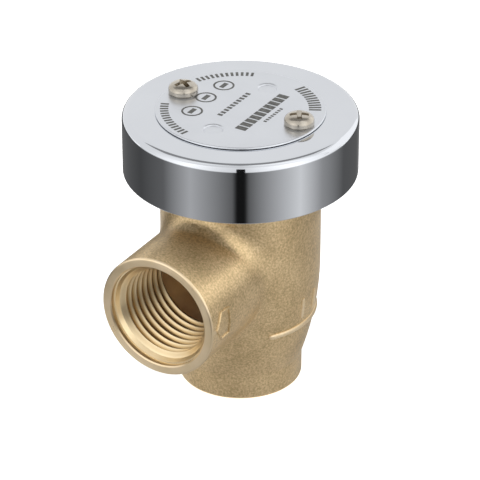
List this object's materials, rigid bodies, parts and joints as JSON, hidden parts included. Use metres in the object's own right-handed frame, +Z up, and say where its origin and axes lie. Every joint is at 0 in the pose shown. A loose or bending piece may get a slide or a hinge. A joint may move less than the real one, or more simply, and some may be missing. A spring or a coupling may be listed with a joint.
{
  "type": "atmospheric vacuum breaker",
  "caption": "Brass angle valve with threaded inlet and outlet, a chromed hood over its air port, and a float that rises to close the port under water pressure.",
  "frame": {"origin": "centre of the inlet face, on the valve's axis", "axes": "+Z up the valve's axis to the hood, -Y along the outlet, X through the two hood screws"},
  "size_m": [0.048, 0.0563, 0.0635],
  "materials": {
    "body_brass": "shot-blasted cast brass, fine grain, satin",
    "turned_brass": "turned brass, bright",
    "hood_chrome": "bright chrome plate with fine lines",
    "plate_satin": "thin satin plate, bare",
    "screw_nickel": "nickel-plated steel",
    "guide_plastic": "off-white moulded plastic",
    "disc_silicone": "red silicone rubber",
    "gasket_rubber": "black sheet rubber",
    "seat_fibre": "red fibre sheet"
  },
  "bodies": {
    "valve": {"valve_body": "body_brass", "inlet_seat": "turned_brass", "seat_gasket": "seat_fibre", "vent_gasket": "gasket_rubber", "vent_seat_plate": "turned_brass", "spacer_left": "turned_brass", "spacer_right": "turned_brass", "hood": "hood_chrome", "data_plate": "plate_satin", "hood_screw_left": "screw_nickel", "hood_screw_right": "screw_nickel"},
    "float": {"float_guide": "guide_plastic", "silicone_disc": "disc_silicone", "disc_washer": "screw_nickel", "disc_screw": "screw_nickel"}
  },
  "joints": [
    {"name": "float_lift", "type": "slide", "parent": "valve", "child": "float", "axis": [0, 0, 1], "range_m": [0, 0.0075]}
  ]
}
